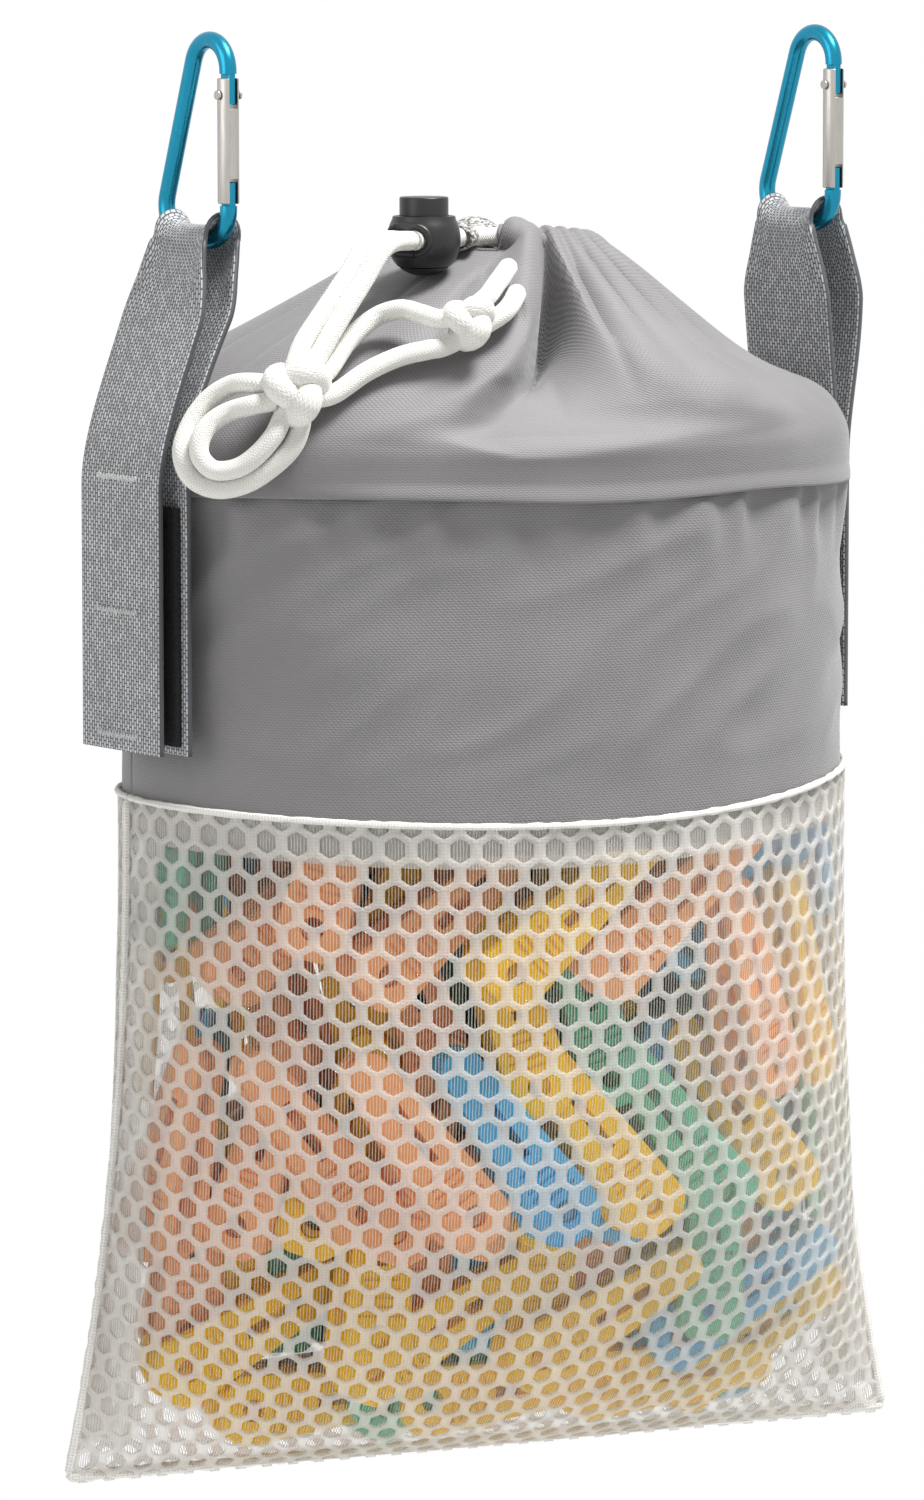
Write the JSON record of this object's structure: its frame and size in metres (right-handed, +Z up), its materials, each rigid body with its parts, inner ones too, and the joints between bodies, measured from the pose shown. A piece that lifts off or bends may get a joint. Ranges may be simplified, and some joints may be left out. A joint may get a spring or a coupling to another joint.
{
  "type": "peg bag",
  "caption": "Hanging peg bag: gathered grey cloth hood with drawcord and cord lock over a white net bag of pegs, on webbing straps with carabiners that clip to a clothes line.",
  "frame": {"origin": "on the centre line of the clothes line, above the middle of the bag", "axes": "+Z up, +X to the right along the bag's width as seen from the front, +Y towards the back"},
  "size_m": [0.254, 0.1484, 0.4078],
  "materials": {
    "grey_cloth": "woven polyester, slight sheen",
    "white_net": "open knitted polyester net",
    "webbing": "coarse woven strap",
    "black_tape": "hook and loop tape",
    "white_cord": "soft knitted cord",
    "black_plastic": "moulded, fine texture",
    "spring_steel": "drawn wire",
    "teal_aluminium": "anodised teal blue",
    "plain_aluminium": "plain, brushed",
    "peg_yellow": "moulded",
    "peg_peach": "moulded",
    "peg_green": "moulded",
    "peg_blue": "moulded"
  },
  "bodies": {
    "bag": {"upper_front_panel": "grey_cloth", "upper_back_panel": "grey_cloth", "hood": "grey_cloth", "net_front_panel": "white_net", "net_back_panel": "white_net", "cord_casing": "grey_cloth", "drawcord": "white_cord", "cord_lead_front": "white_cord", "cord_lead_rear": "white_cord", "cord_bow_loop_outer": "white_cord", "cord_bow_loop_inner": "white_cord", "cord_tail_upper": "white_cord", "cord_tail_lower": "white_cord", "cord_tip_upper": "white_cord", "cord_tip_lower": "white_cord", "cord_bow_knot": "white_cord", "cord_end_knot": "white_cord", "left_strap": "webbing", "left_hook_tape": "black_tape", "left_loop_tape": "black_tape", "right_strap": "webbing", "right_hook_tape": "black_tape", "right_loop_tape": "black_tape", "peg_1": "peg_yellow", "peg_2": "peg_yellow", "peg_3": "peg_blue", "peg_4": "peg_green", "peg_5": "peg_blue", "peg_6": "peg_green", "peg_7": "peg_yellow", "peg_8": "peg_peach", "peg_9": "peg_peach", "peg_10": "peg_blue", "peg_11": "peg_yellow", "peg_12": "peg_green", "peg_13": "peg_yellow", "peg_14": "peg_peach", "peg_15": "peg_yellow", "peg_16": "peg_blue", "peg_17": "peg_green", "peg_18": "peg_green", "peg_19": "peg_peach", "peg_20": "peg_yellow", "peg_21": "peg_peach", "peg_22": "peg_blue", "peg_23": "peg_yellow", "peg_24": "peg_green", "peg_25": "peg_peach"},
    "cord_lock": {"cord_lock_body": "black_plastic", "cord_lock_spring": "spring_steel"},
    "cord_lock_plunger": {"cord_lock_plunger": "black_plastic"},
    "left_carabiner": {"left_carabiner_frame": "teal_aluminium", "left_carabiner_rivet": "plain_aluminium"},
    "left_gate": {"left_carabiner_gate": "plain_aluminium", "left_carabiner_spring": "spring_steel"},
    "right_carabiner": {"right_carabiner_frame": "teal_aluminium", "right_carabiner_rivet": "plain_aluminium"},
    "right_gate": {"right_carabiner_gate": "plain_aluminium", "right_carabiner_spring": "spring_steel"}
  },
  "joints": [
    {"name": "cord_lock_slide", "type": "slide", "parent": "bag", "child": "cord_lock", "axis": [-0.8191, -0.5736, 0], "range_m": [0, 0.0085]},
    {"name": "plunger_press", "type": "slide", "parent": "cord_lock", "child": "cord_lock_plunger", "axis": [0, 0, -1], "range_m": [0, 0.0032], "stiffness_N_per_m": 600, "springref_m": -0.003, "deforming": ["cord_lock_spring"]},
    {"name": "left_carabiner_swing", "type": "hinge", "parent": "bag", "child": "left_carabiner", "pos_m": [-0.08968, -0.00872, -0.0498], "axis": [-0.2588, 0.9659, 0], "range_deg": [-60, 60]},
    {"name": "left_gate_hinge", "type": "hinge", "parent": "left_carabiner", "child": "left_gate", "pos_m": [-0.0858, -0.02321, -0.0095], "axis": [0.9659, 0.2588, 0], "range_deg": [0, 35], "stiffness_Nm_per_rad": 0.02, "springref_deg": -28.65},
    {"name": "right_carabiner_swing", "type": "hinge", "parent": "bag", "child": "right_carabiner", "pos_m": [0.10932, 0.02428, -0.0498], "axis": [-0.2588, 0.9659, 0], "range_deg": [-60, 60]},
    {"name": "right_gate_hinge", "type": "hinge", "parent": "right_carabiner", "child": "right_gate", "pos_m": [0.1132, 0.00979, -0.0095], "axis": [0.9659, 0.2588, 0], "range_deg": [0, 35], "stiffness_Nm_per_rad": 0.02, "springref_deg": -28.65}
  ]
}
